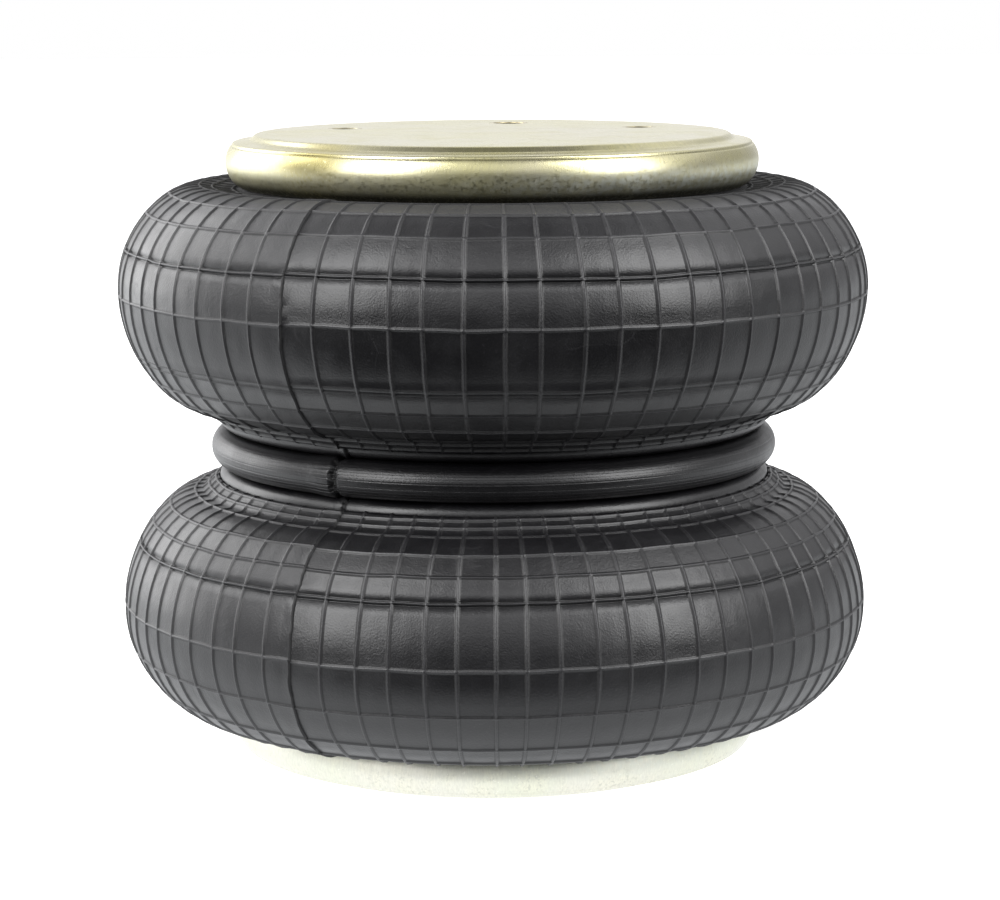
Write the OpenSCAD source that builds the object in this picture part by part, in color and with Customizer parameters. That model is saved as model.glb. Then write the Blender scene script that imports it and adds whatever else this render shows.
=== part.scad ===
// Double-convoluted air suspension spring with crimped bead plates and a girdle hoop.
// Millimetres. The origin is the centre of the lower plate's outer face, with +Z up the spring's axis.

/* [Height] */
// Height over the two plates' outer faces, as it stands
stand_h = 268.8; // [264:0.2:274]
// Height over the outer faces when the bump stop meets the upper plate
closed_h = 88.8; // [88:0.2:96]

/* [Bead plates] */
// Radius of the plate's flat mounting face
flat_r = 99.6; // [98.6:0.1:100.4]
// Thickness of the plate's flat
plate_t = 3; // [2.6:0.1:3.4]
// Thickness of the sheet in the crimped roll
roll_t = 2.6; // [2.2:0.1:2.8]
// How far the crease lies outside the flat's edge
crease_out = 7.8; // [7.4:0.1:8.2]
// How far the roll's outer face lies outside the crease
rim_out = 7.6; // [7.2:0.1:8.4]
// Half width of the crimped roll
roll_w = 9.4; // [9.2:0.1:9.8]
// Height of the roll above its widest line
roll_up = 8.8; // [8.6:0.1:9.2]
// Height of the roll below its widest line
roll_down = 10.3; // [10:0.1:10.8]
// Depth of the roll's widest line below the plate's face
roll_drop = 13.2; // [13:0.1:14]
// Width of the rounded shoulder at the edge of the flat
shoulder_w = 4.2; // [3.6:0.1:4.6]
// Drop of that shoulder
shoulder_drop = 2.7; // [2.2:0.1:3]
// Depth of the crease below the plate's face
crease_drop = 5.2; // [4.9:0.1:5.4]

/* [Bellows] */
// Largest radius of a convolution
bulge_out_r = 161.6; // [158:0.2:166]
// How far the bulge's middle lies outside the middle of the crimped roll
bulge_set = 21.4; // [18:0.2:24]
// Depth of the bulge's top below the plate's face
bulge_drop = 20.9; // [20.5:0.1:22]
// Share of the bulge's height that lies on the girdle's side of its widest line
bulge_share = 0.535; // [0.5:0.005:0.56]
// How far the bulge's quarters are drawn in from an ellipse, as a share
quarter_flat = 0.026; // [0:0.002:0.04]
// Thickness of the outer cover
cover_t = 2; // [1.6:0.1:2.4]
// Thickness of one cord ply
ply_t = 1; // [0.8:0.1:1.2]
// Thickness of the inner liner
liner_t = 1.2; // [0.8:0.1:1.4]
// Height of the moulded ribs on the cover
rib_h = 0.7; // [0.4:0.1:1]
// Width of the moulded ribs at their top
rib_w = 1.2; // [0.8:0.1:1.6]

/* [Bead] */
// Radius of the bead wire bundle
wire_r = 2.3; // [1.8:0.1:2.5]
// How far the bead wire spreads the inner plies from the outer ones
bead_spread = 5.8; // [5.6:0.1:6.4]
// Half width of the bend where the wall leaves the crimp
neck_w = 2.9; // [2.7:0.1:3.2]
// Half height of that bend
neck_h = 3; // [2.8:0.1:3.2]

/* [Girdle] */
// Outer radius of the girdle ring
girdle_r = 123.1; // [122:0.1:124]
// Half width of the girdle ring
girdle_w = 7.5; // [7:0.1:7.9]
// Half height of the girdle ring
girdle_h = 8; // [7.4:0.1:8.6]
// Depth of the moulded lines round the girdle ring
line_d = 0.3; // [0.1:0.05:0.5]
// Width of those lines
line_w = 0.7; // [0.4:0.1:1]
// Radius of the steel hoop in the girdle ring
hoop_r = 4; // [3:0.1:5]
// Half width of a flank ring
flank_w = 5.8; // [5.2:0.1:6.2]
// Half height of a flank ring
flank_h = 4.8; // [4.2:0.1:5.2]
// Gap between a flank ring and the foot of the bulge
foot_gap = 1.2; // [0.8:0.1:2]

/* [Fittings] */
// Pitch radius of the blind nuts and the air inlet
pitch_r = 73; // [71:0.5:76]
// Half the distance between the two blind nuts of a plate
nut_x = 65; // [58:0.5:68]
// Angle of the air inlet about the axis
inlet_angle = 84; // [76:1:94]
// Wall radius of the M10 blind nut's thread
nut_bore_r = 4.25; // [4:0.05:5]
// Depth of the blind nut's bore
nut_bore_l = 15; // [12:0.5:18]
// Radius of the blind nut's mouth
nut_mouth_r = 5.9; // [5.6:0.1:6.4]
// Radius of the blind nut's body
nut_body_r = 9; // [8.4:0.1:10]
// Wall radius of the air inlet's pipe thread
inlet_bore_r = 5.7; // [5.4:0.05:6.2]
// Length of the air inlet's bore
inlet_bore_l = 18; // [15:0.5:20]
// Radius of the air inlet's mouth
inlet_mouth_r = 7; // [6.8:0.1:7.4]
// Radius of the air inlet's body
inlet_body_r = 11; // [10.2:0.1:12]

/* [Bump stop] */
// Radius of the bump stop's foot
stop_foot_r = 47; // [42:0.5:50]
// Radius of the bump stop's head
stop_head_r = 39; // [34:0.5:44]
// Radius of the waist between them
stop_waist_r = 33; // [28:0.5:36]
// Thickness of the foot under the washer
stop_floor = 14; // [12:0.5:18]
// Radius of the well down to the washer
stop_well_r = 15; // [14:0.5:18]
// Radius of the stud
stud_r = 5; // [4:0.25:6]

/* [Hidden] */
$fn = 96;

// Clearances
bond = 0.1;        // between bonded rubber layers
seat = 0.3;        // between curved faces that seat on each other
fit = 0.05;        // round a collar in its hole
crimp_gap = 0.7;   // between the crimp's edge and the neck of the wall

// One half of the spring is drawn in (radius, height above the girdle's middle plane)
face_z = stand_h / 2;
crease_r = flat_r + crease_out;
rim_r = crease_r + rim_out;
roll_r = rim_r - roll_w;
roll_z = face_z - roll_drop;
crimp_end = 70;    // angle below the widest line at which the roll's edge ends
crease_end = 76;   // angle above it at which the roll meets the crease
roll_in_end = 112; // angle above it at which the roll's inside meets the flat's underside
pan_in = 1.2;      // how far the underside's edge lies inside the flat's
roll_in_w = roll_w - roll_t;
roll_in_up = roll_up - roll_t;
roll_in_down = roll_down - roll_t;
edge_in_r = roll_r + roll_in_w * cos(crimp_end);
edge_out_z = roll_z - roll_down * sin(crimp_end);
under_z = face_z - plate_t;

// Girdle and the foot of the wall
leg_r = girdle_r - 2 * girdle_w - seat;
flank_r = leg_r + seat + flank_w;
flank_z = girdle_h + seat + flank_h;
foot_z = flank_z + flank_h + foot_gap;

// Bulge
bulge_r = roll_r + bulge_set;
bulge_w = bulge_out_r - bulge_r;
top_z = face_z - bulge_drop;
bulge_z = foot_z + bulge_share * (top_z - foot_z);
bulge_end = 104;   // angle at which the bulge runs into the neck

// Neck and bead
bead_leg_r = edge_in_r - crimp_gap;
neck_r = bead_leg_r + neck_w;
neck_z = edge_out_z - crimp_gap + neck_h;
bead_top_z = roll_z + roll_in_up - 0.6;
ply_top_z = under_z - 0.4;
wire_z = roll_z + 0.7;

// Depth of each layer's outer face below the cover's
outer_ply_d = cover_t + bond;
inner_ply_d = outer_ply_d + ply_t + bond;
liner_d = inner_ply_d + ply_t + bond;
split_gap = 0.05;  // each half stops this far from the girdle's middle plane

// Angles round the bulge of the cover's moulded ribs, from the girdle's side to the plate's
rib_angles = [-84, -65, -50, -35, -3, 23, 49, 69, 91, 100];
wall_step = 6;

function arc_steps(a, b, step) = [for (i = [0 : ceil(abs(b - a) / step)]) a + (b - a) * i / ceil(abs(b - a) / step)];

// A point of the bulge at an angle, at a depth below the cover's face
function bulge_pt(angle, depth) =
    let (draw = 1 - quarter_flat * pow(sin(2 * angle), 2),
         up = angle > 0 ? top_z - bulge_z : bulge_z - foot_z)
    [bulge_r + (bulge_w - depth) * cos(angle) * draw, bulge_z + (up - depth) * sin(angle) * draw];

// The wall's foot, round a flank ring
function foot_line(depth) = concat([[leg_r - depth, split_gap]],
    [for (a = arc_steps(0, 90, 15)) [flank_r - (flank_w + seat + depth) * cos(a),
                                     flank_z + (foot_z - flank_z + depth) * sin(a)]]);

// The wall's neck, round the crimp's edge, and its leg in the bead
function neck_line(depth, spread, leg_top, from = 0) = concat(
    [for (a = arc_steps(from, 90, 15)) [neck_r - (neck_w + depth + spread) * sin(a),
                                        neck_z - (neck_h + depth) * cos(a)]],
    [[neck_r - neck_w - depth - spread, leg_top]]);

function wall_line(depth, spread, leg_top) = concat(foot_line(depth),
    [for (a = arc_steps(-90, bulge_end, wall_step)) bulge_pt(a, depth)],
    neck_line(depth, spread, leg_top));

// The cover's outer line, which carries a rib at each rib angle
rib_half = rib_w / 2 / bulge_w * 180 / PI;
rib_root = rib_half * 1.6;
function rib_pts(angle) = [bulge_pt(angle - rib_root, 0), bulge_pt(angle - rib_half, -rib_h),
    bulge_pt(angle + rib_half, -rib_h), bulge_pt(angle + rib_root, 0)];
function between(i) =
    let (a = i == 0 ? -90 : rib_angles[i - 1] + rib_root + 1,
         b = i == len(rib_angles) ? bulge_end : rib_angles[i] - rib_root - 1)
    [for (c = arc_steps(a, b, wall_step)) bulge_pt(c, 0)];
function ribbed_bulge() = [for (i = [0 : len(rib_angles)])
    each concat(between(i), i < len(rib_angles) ? rib_pts(rib_angles[i]) : [])];

function backwards(line) = [for (i = [len(line) - 1 : -1 : 0]) line[i]];

// Puts a half that is drawn above the girdle's plane at the top, or turned over at the bottom
module half(top) {
    translate([0, 0, stand_h / 2]) {
        if (top) children();
        else rotate([180, 0, 0]) children();
    }
}

module ring(line) {
    rotate_extrude() polygon(line);
}

module oval_ring(radius, z, w, h) {
    translate([0, 0, z]) rotate_extrude() polygon([for (a = [0 : 15 : 345]) [radius + w * cos(a), h * sin(a)]]);
}

// Half of the sheet plate: flat, shoulder, crease and the roll that is crimped round the bead
module plate_sheet() {
    outside = concat(
        [[0, face_z]],
        [for (a = [0 : 15 : 90]) [flat_r + shoulder_w * a / 90, face_z - shoulder_drop * (1 - cos(a))]],
        [[crease_r - 0.5, face_z - crease_drop + 0.6], [crease_r, face_z - crease_drop]],
        [for (a = arc_steps(crease_end, -crimp_end, 10))
            [roll_r + roll_w * cos(a), roll_z + (a > 0 ? roll_up : roll_down) * sin(a)]]);
    inside = concat(
        [for (a = arc_steps(-crimp_end, roll_in_end, 10))
            [roll_r + roll_in_w * cos(a), roll_z + (a > 0 ? roll_in_up : roll_in_down) * sin(a)]],
        [[flat_r - pan_in, under_z], [0, under_z]]);
    ring(concat(outside, inside));
}

nut_y = sqrt(pow(pitch_r, 2) - pow(nut_x, 2));
collar_r = nut_mouth_r + 1.6;
inlet_collar_r = inlet_mouth_r + 1.6;

module at_nuts() {
    for (side = [-1, 1]) translate([side * nut_x, nut_y, 0]) children();
}

module at_inlet() {
    rotate([0, 0, inlet_angle]) translate([pitch_r, 0, 0]) children();
}

module nut_holes() {
    at_nuts() translate([0, 0, under_z - 1]) cylinder(r = collar_r + fit, h = plate_t + 2);
}

module upper_bead_plate() {
    color("#8f7f45") half(true) difference() {
        plate_sheet();
        nut_holes();
        at_inlet() translate([0, 0, under_z - 1]) cylinder(r = inlet_collar_r + fit, h = plate_t + 2);
    }
}

module lower_bead_plate() {
    color("#c9c7b4") half(false) difference() {
        plate_sheet();
        nut_holes();
    }
}

// Blind nut: collar through the plate, flange under it, closed body with the bore
module blind_nut() {
    flange_h = 2.5;
    body_l = nut_bore_l + 2;
    mouth_l = nut_mouth_r - nut_bore_r;
    difference() {
        union() {
            translate([0, 0, -plate_t - seat]) cylinder(r = collar_r, h = plate_t + seat);
            translate([0, 0, -plate_t - fit - flange_h]) cylinder(r = nut_body_r + 3, h = flange_h);
            translate([0, 0, -body_l]) cylinder(r = nut_body_r, h = body_l - plate_t - 1);
        }
        translate([0, 0, -nut_bore_l]) cylinder(r = nut_bore_r, h = nut_bore_l + 1);
        translate([0, 0, -mouth_l]) cylinder(r1 = nut_bore_r, r2 = nut_mouth_r + 0.5, h = mouth_l + 0.5);
    }
}

module upper_blind_nuts() {
    color("#7d7558") half(true) at_nuts() translate([0, 0, face_z]) blind_nut();
}

module lower_blind_nuts() {
    color("#7d7558") half(false) at_nuts() translate([0, 0, face_z]) blind_nut();
}

module air_inlet_boss() {
    flange_h = 2.5;
    mouth_l = inlet_mouth_r - inlet_bore_r;
    color("#7d7558") half(true) at_inlet() translate([0, 0, face_z]) difference() {
        union() {
            translate([0, 0, -plate_t - seat]) cylinder(r = inlet_collar_r, h = plate_t + seat);
            translate([0, 0, -plate_t - fit - flange_h]) cylinder(r = inlet_body_r + 3, h = flange_h);
            translate([0, 0, -inlet_bore_l]) cylinder(r = inlet_body_r, h = inlet_bore_l - plate_t - 1);
        }
        translate([0, 0, -inlet_bore_l - 1]) cylinder(r = inlet_bore_r, h = inlet_bore_l + 2);
        translate([0, 0, -mouth_l]) cylinder(r1 = inlet_bore_r, r2 = inlet_mouth_r + 0.5, h = mouth_l + 0.5);
    }
}

wire_ring_r = bead_leg_r - inner_ply_d - bead_spread / 2 + bond / 2;

module bead_wire(top) {
    color("#b9b4a6") half(top) translate([0, 0, wire_z]) rotate_extrude()
        translate([wire_ring_r, 0]) circle(r = wire_r);
}

module upper_bead_wire() {
    bead_wire(true);
}

module lower_bead_wire() {
    bead_wire(false);
}

// Filler between the turned plies, round the bead wire
module bead_filler(top) {
    wedge_from = 24;
    color("#33302e") half(top) difference() {
        ring(concat(neck_line(inner_ply_d, 0, bead_top_z, wedge_from),
                    backwards(neck_line(inner_ply_d - bond, bead_spread, bead_top_z, wedge_from))));
        translate([0, 0, wire_z]) rotate_extrude()
            translate([wire_ring_r, 0]) circle(r = wire_r + bond);
    }
}

module upper_bead_filler() {
    bead_filler(true);
}

module lower_bead_filler() {
    bead_filler(false);
}

// Outer cover with its moulded ribs, and the heel that fills the crimped roll
module cover(top) {
    heel_end = 72;
    heel = [for (a = arc_steps(-heel_end, heel_end, 12))
        [roll_r + (roll_in_w - seat) * cos(a), roll_z + ((a > 0 ? roll_in_up : roll_in_down) - seat) * sin(a)]];
    neck = neck_line(0, 0, bead_top_z);
    outer = concat(foot_line(0), ribbed_bulge(), [for (i = [0 : len(neck) - 2]) neck[i]], heel);
    color("#3a383c") half(top) ring(concat(outer, backwards(wall_line(cover_t, 0, bead_top_z))));
}

module upper_cover() {
    cover(true);
}

module lower_cover() {
    cover(false);
}

module layer(depth, thick, spread, leg_top) {
    ring(concat(wall_line(depth, spread, leg_top), backwards(wall_line(depth + thick, spread, leg_top))));
}

module upper_outer_ply() {
    color("#57524a") half(true) layer(outer_ply_d, ply_t, 0, bead_top_z);
}

module lower_outer_ply() {
    color("#57524a") half(false) layer(outer_ply_d, ply_t, 0, bead_top_z);
}

module upper_inner_ply() {
    color("#6a6458") half(true) layer(inner_ply_d, ply_t, bead_spread, ply_top_z);
}

module lower_inner_ply() {
    color("#6a6458") half(false) layer(inner_ply_d, ply_t, bead_spread, ply_top_z);
}

module upper_liner() {
    color("#2b2b2e") half(true) layer(liner_d, liner_t, bead_spread, ply_top_z);
}

module lower_liner() {
    color("#2b2b2e") half(false) layer(liner_d, liner_t, bead_spread, ply_top_z);
}

girdle_ring_r = girdle_r - girdle_w;
line_angles = [-41, -17, 4, 29];   // of the moulded lines, round the ring's section

// A point of the girdle ring's section, sunk below its face
function girdle_pt(angle, sunk) = [girdle_ring_r + (girdle_w - sunk) * cos(angle), (girdle_h - sunk) * sin(angle)];

module girdle_cover() {
    half_line = line_w / 2 / girdle_w * 180 / PI;
    starts = concat([-90], [for (a = line_angles) a + half_line]);
    ends = concat([for (a = line_angles) a - half_line], [90]);
    outside = [for (i = [0 : len(starts) - 1]) each concat(
        [for (a = arc_steps(starts[i], ends[i], 10)) girdle_pt(a, 0)],
        i < len(line_angles) ? [girdle_pt(line_angles[i], line_d)] : [])];
    inside = [for (a = [105 : 15 : 255]) girdle_pt(a, 0)];
    color("#3a383c") translate([0, 0, stand_h / 2]) difference() {
        ring(concat(outside, inside));
        rotate_extrude() translate([girdle_ring_r, 0]) circle(r = hoop_r + bond);
    }
}

module girdle_hoop() {
    color("#9a9aa0") translate([0, 0, stand_h / 2]) rotate_extrude()
        translate([girdle_ring_r, 0]) circle(r = hoop_r);
}

module upper_flank_ring() {
    color("#3a383c") half(true) oval_ring(flank_r, flank_z, flank_w, flank_h);
}

module lower_flank_ring() {
    color("#3a383c") half(false) oval_ring(flank_r, flank_z, flank_w, flank_h);
}

// Bump stop: stud welded to the lower plate, rubber block, washer and nut in its well
stop_base_z = plate_t + 0.05;
stop_top_z = closed_h - plate_t - 0.5;
washer_t = 2;
nut_h = 8;
pad_r = 12;
pad_h = 2;

module bump_stop() {
    foot_h = 12;
    waist_z = (stop_base_z + stop_top_z) / 2;
    head_round = 8;
    color("#202022") difference() {
        ring(concat(
            [[0, stop_base_z], [stop_foot_r, stop_base_z], [stop_foot_r, stop_base_z + foot_h]],
            [for (a = arc_steps(-90, 90, 18)) [stop_waist_r + (1 - cos(a)) * (stop_foot_r - 4 - stop_waist_r) +
                (a > 0 ? (1 - cos(a)) * (stop_head_r + 4 - stop_foot_r) : 0),
                waist_z + sin(a) * (stop_top_z - head_round - foot_h - stop_base_z) / 2]],
            [for (a = arc_steps(0, 90, 15)) [stop_head_r - head_round + head_round * cos(a),
                stop_top_z - head_round + head_round * sin(a)]],
            [[0, stop_top_z]]));
        translate([0, 0, stop_base_z - 1]) cylinder(r = stud_r + seat, h = stop_floor + 2);
        translate([0, 0, stop_base_z - 1]) cylinder(r = pad_r + seat, h = pad_h + seat + 1);
        translate([0, 0, stop_base_z + stop_floor]) cylinder(r = stop_well_r, h = closed_h);
    }
}

module bump_stop_stud() {
    color("#9a9aa0") {
        translate([0, 0, plate_t]) cylinder(r = pad_r, h = pad_h);
        translate([0, 0, plate_t + pad_h - 0.5]) cylinder(r = stud_r, h = stop_floor + washer_t + nut_h + 3 - pad_h);
    }
}

module bump_stop_washer() {
    color("#b9b4a6") translate([0, 0, stop_base_z + stop_floor]) difference() {
        cylinder(r = stop_well_r - 1, h = washer_t);
        translate([0, 0, -1]) cylinder(r = stud_r + seat, h = washer_t + 2);
    }
}

module bump_stop_nut() {
    across_corners_r = 9.2;
    color("#b9b4a6") translate([0, 0, stop_base_z + stop_floor + washer_t]) difference() {
        cylinder(r = across_corners_r, h = nut_h, $fn = 6);
        translate([0, 0, -1]) cylinder(r = stud_r + fit, h = nut_h + 2);
    }
}

upper_bead_plate();
lower_bead_plate();
upper_bead_wire();
lower_bead_wire();
upper_bead_filler();
lower_bead_filler();
upper_cover();
lower_cover();
upper_outer_ply();
lower_outer_ply();
upper_inner_ply();
lower_inner_ply();
upper_liner();
lower_liner();
girdle_cover();
girdle_hoop();
upper_flank_ring();
lower_flank_ring();
upper_blind_nuts();
lower_blind_nuts();
air_inlet_boss();
bump_stop();
bump_stop_stud();
bump_stop_washer();
bump_stop_nut();
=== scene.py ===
"""Looks of a double-convoluted air suspension spring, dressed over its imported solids."""
import math

import bmesh
import bpy
import numpy as np
from bpy.props import FloatProperty, FloatVectorProperty, IntProperty, PointerProperty
from mathutils import Matrix, Vector


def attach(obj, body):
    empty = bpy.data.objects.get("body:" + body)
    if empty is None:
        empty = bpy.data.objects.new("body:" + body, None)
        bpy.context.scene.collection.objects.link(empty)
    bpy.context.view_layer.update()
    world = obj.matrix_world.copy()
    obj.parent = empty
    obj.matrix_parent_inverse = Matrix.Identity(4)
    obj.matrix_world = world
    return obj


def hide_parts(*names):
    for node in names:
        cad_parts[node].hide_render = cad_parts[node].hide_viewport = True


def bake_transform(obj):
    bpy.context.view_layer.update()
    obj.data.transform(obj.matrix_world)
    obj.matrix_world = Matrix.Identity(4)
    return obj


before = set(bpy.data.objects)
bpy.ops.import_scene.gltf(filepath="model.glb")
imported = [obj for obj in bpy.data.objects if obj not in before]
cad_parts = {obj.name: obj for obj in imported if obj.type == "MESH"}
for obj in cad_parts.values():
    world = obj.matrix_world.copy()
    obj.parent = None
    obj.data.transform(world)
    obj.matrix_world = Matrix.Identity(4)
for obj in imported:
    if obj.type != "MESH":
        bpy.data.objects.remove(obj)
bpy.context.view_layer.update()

bl_info = {
    "name": "Air Suspension Spring",
    "version": (1, 0, 0),
    "blender": (4, 5, 0),
    "location": "3D View > Sidebar > Air Spring",
    "description": "Builds the plates, bellows wall, girdle, fittings and stage of an air suspension spring",
    "category": "Mesh",
}

MM = 0.001
SIDES = ("upper", "lower")

# Millimetres, in (radius, height above the girdle's middle plane), as in the solids
MID_Z = 134.4
FACE_Z, UNDER_Z = 134.4, 131.4
BEAD_R, BEAD_Z, BEAD_TOP_Z = 105.6, 121.2, 126.8
CRIMP_R, CRIMP_Z, CRIMP_HALF, CRIMP_UP, CRIMP_DOWN = 105.4, 123.0, 9.6, 9.2, 11.6
LEG_R, LEG_Z = 107.8, 0.05
FLANK_R, FLANK_Z, FLANK_HALF, FLANK_UP = 113.9, 13.1, 5.8, 4.8
FOOT_HALF, FOOT_UP, FOOT_Z = 6.1, 6.0, 19.1
BULGE_R, BULGE_Z, BULGE_HALF, TOP_Z = 127.0, 69.6, 34.6, 112.9
BULGE_START, BULGE_END, FOOT_END, SQUARING = -90, 104, 92, 0.026
NECK_R, NECK_Z, NECK_HALF, NECK_UP = 110.13, 113.82, 2.9, 3.0
COVER_T, PLY_T, LINER_T = 2.0, 1.0, 1.2
PLY_TOP_Z, PLY_SPREAD = 131.0, 5.8
WIRE_R, WIRE_Z, STRAND_R = 101.18, 121.9, 0.45
GIRDLE_R, GIRDLE_HALF, GIRDLE_UP, HOOP_R = 115.6, 7.5, 8.0, 4
NUTS = [(65.0, 33.226), (-65.0, 33.226)]
INLET = (73 * math.cos(math.radians(84)), 73 * math.sin(math.radians(84)))
NUT_HOLE_R, INLET_HOLE_R = 7.55, 8.65

# Moulded rings, in degrees round the bulge, and in millimetres along the line from the foot and to the neck
RING_ANGLES = [-84, -65, -50, -35, -3, 23, 49, 69, 91, 100]
FOOT_RINGS, NECK_RING = (1.3, 5.4), 2.2
# Each is a row of stations across the ring: millimetres from its middle and share of the rib's height
RIB = [(-1.15, 0), (-0.62, 0.1), (-0.24, 1), (0.24, 1), (0.62, 0.1), (1.15, 0)]
GROOVED_RIB = [(-1.6, 0), (-1.1, -1.0), (-0.75, -1.0), (-0.5, 0.1), (-0.25, 0.8), (0.25, 0.8), (0.5, 0.1),
               (0.75, -1.0), (1.1, -1.0), (1.6, 0)]
FAINT_RIB = [(-1.7, 0), (-1.35, 0.4), (-1.05, 0.4), (-0.6, -0.15), (0.6, -0.15), (1.05, 0.4), (1.35, 0.4),
             (1.7, 0)]


def length(name, description, default):
    return FloatProperty(name=name, description=description, default=default, unit="LENGTH",
                         subtype="DISTANCE")


def count(name, description, default):
    return IntProperty(name=name, description=description, default=default)


def tint(name, description, default):
    return FloatVectorProperty(name=name, description=description, default=default, subtype="COLOR",
                               min=0, max=1)


def power(name, description, default):
    return FloatProperty(name=name, description=description, default=default, unit="POWER")


class PlateSizes(bpy.types.PropertyGroup):
    flat_radius: length("Flat radius", "Radius of the flat mounting face", 0.1010)
    shoulder_drop: length("Shoulder drop", "Drop of the rounded shoulder round the flat", 0.0025)
    roll_radius: length("Roll radius", "Radius of the upper side of the crimped roll", 0.0112)
    sheet: length("Rolled sheet", "Thickness of the sheet in the roll", 0.0026)
    unevenness: length("Roll unevenness", "How far the rolled edge wanders round the plate", 0.00022)


class WallSizes(bpy.types.PropertyGroup):
    upper_ribs: count("Upper ribs", "Meridional ribs round the upper bulge", 66)
    lower_ribs: count("Lower ribs", "Meridional ribs round the lower bulge", 72)
    rib_height: length("Rib height", "Height of the moulded ribs", 0.00068)
    rib_width: length("Rib width", "Width of a moulded rib at half its height", 0.0008)
    crown: length("Panel crown", "How far the panels between the ribs stand out", 0.00016)
    wander: length("Rib wander", "How far the ribs stray from straight lines", 0.0009)
    splice_angle: FloatProperty(name="Splice angle", default=math.radians(-31), unit="ROTATION",
                                subtype="ANGLE", description="Place of the sheet's splice, from the front")
    splice_step: length("Splice step", "How far the lapped edge stands proud", 0.0006)


class GirdleSizes(bpy.types.PropertyGroup):
    line_depth: length("Line depth", "Depth of the moulded lines round the girdle ring", 0.00017)
    splice_step: length("Splice step", "How far a ring's spliced end stands proud", 0.0008)
    splice_groove: length("Splice groove", "Depth of the groove beside the spliced end", 0.0011)


class FittingSizes(bpy.types.PropertyGroup):
    bolt_pitch: length("Bolt thread pitch", "Pitch of the M10 threads", 0.0015)
    pipe_pitch: length("Pipe thread pitch", "Pitch of the air inlet's thread", 0.00134)
    strands: count("Bead wire strands", "Strands in a bead wire bundle", 19)


class Finishes(bpy.types.PropertyGroup):
    yellow_zinc: tint("Yellow zinc", "Upper plate's passivated zinc", (0.57, 0.537, 0.36))
    pale_zinc: tint("Pale zinc", "Lower plate's passivated zinc", (0.80, 0.785, 0.69))
    nut_zinc: tint("Nut zinc", "Blind nuts and air inlet", (0.50, 0.46, 0.33))
    rubber: tint("Cover rubber", "Moulded rubber of the bellows and girdle", (0.0042, 0.0040, 0.0050))
    dust: tint("Rubber bloom", "Bloom and dust on the rubber", (0.0142, 0.0137, 0.0155))
    cord: tint("Cord", "Textile cords of the plies", (0.30, 0.24, 0.17))
    steel: tint("Steel", "Drawn wire, hoop and turned steel", (0.60, 0.60, 0.62))


class StageSettings(bpy.types.PropertyGroup):
    floor: tint("Floor", "Colour of the plain floor", (0.86, 0.86, 0.86))
    key: power("Key light", "Power of the softbox at the left front", 24.0)
    fill: power("Fill light", "Power of the softbox at the right front", 23.0)
    rim: power("Rim light", "Power of the panel behind at the left", 23.0)
    table: FloatProperty(name="Floor glow", description="How brightly the floor near the spring shines back",
                         default=1.45, min=0.0)


# Lines of the section

def spread(start, end, steps):
    return [start + (end - start) * i / steps for i in range(steps + 1)]


def oval(centre, half_width, half_up, half_down, start, end, steps):
    """Points on an oval arc, from one angle in degrees to another."""
    points = []
    for angle in spread(math.radians(start), math.radians(end), steps):
        half = half_up if angle > 0 else half_down
        points.append((centre[0] + half_width * math.cos(angle), centre[1] + half * math.sin(angle)))
    return points


def bulge_point(angle, depth=0.0):
    """A point of the bulge, which is an oval pulled in a little between its axes."""
    a = math.radians(angle)
    draw = 1 - SQUARING * math.sin(2 * a) ** 2
    half_up = TOP_Z - BULGE_Z if angle > 0 else BULGE_Z - FOOT_Z
    out_r = (BULGE_HALF - depth) * math.cos(a) * draw
    return (BULGE_R + out_r, BULGE_Z + (half_up - depth) * math.sin(a) * draw)


def foot_arc(depth, angles):
    """Points of the wall's foot, which wraps the flank ring."""
    return [(FLANK_R - (FOOT_HALF + depth) * math.cos(a), FLANK_Z + (FOOT_UP + depth) * math.sin(a))
            for a in angles]


def foot_line(depth, steps):
    return [(LEG_R - depth, LEG_Z)] + foot_arc(depth, spread(0, math.pi / 2, steps))


def neck_line(depth, spread_in, leg_top, steps):
    reach = NECK_HALF + depth + spread_in
    bend = [(NECK_R - reach * math.sin(a), NECK_Z - (NECK_UP + depth) * math.cos(a))
            for a in spread(0, math.pi / 2, steps)]
    return bend + [(NECK_R - reach, leg_top)]


def wall_line(depth, spread_in, leg_top, steps, bend_steps=8):
    bulge = [bulge_point(angle, depth) for angle in spread(BULGE_START, BULGE_END, steps)]
    return foot_line(depth, bend_steps) + bulge + neck_line(depth, spread_in, leg_top, bend_steps)


def plate_line(sizes):
    """Section of a plate: the flat, a rounded shoulder, a level ledge, the crimped roll and the underside."""
    flat_r, drop = sizes.flat_radius / MM, sizes.shoulder_drop / MM
    radius, sheet = sizes.roll_radius / MM, sizes.sheet / MM
    fall = [0.0, 0.015, 0.06, 0.17, 0.34, 0.53, 0.72, 0.87, 0.96, 1.0]
    shoulder = [(flat_r + 0.5 * i, FACE_Z - drop * share) for i, share in enumerate(fall)]
    falls = [(106.4, 2.64), (108.2, 2.84), (110.0, 3.06), (111.2, 3.25), (111.8, 3.45), (112.1, 3.8),
             (112.2, 4.15), (112.25, 4.6)]
    ledge = [(r, FACE_Z - down) for r, down in falls]
    centre = (CRIMP_R, CRIMP_Z)
    roll = oval((CRIMP_R + CRIMP_HALF - radius, CRIMP_Z), radius, radius, radius, 36, 0, 18)
    roll += oval(centre, CRIMP_HALF, CRIMP_UP, CRIMP_DOWN, 0, -70, 28)[1:]
    back = oval(centre, CRIMP_HALF - sheet, CRIMP_UP - sheet, CRIMP_DOWN - sheet, -70, 112, 30)
    face = [(r, FACE_Z) for r in (0, 40, 60, 86, 94, 98)]
    return face + shoulder + ledge + roll + back + [(r, UNDER_Z) for r in (98.4, 86, 60, 0)]


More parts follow.
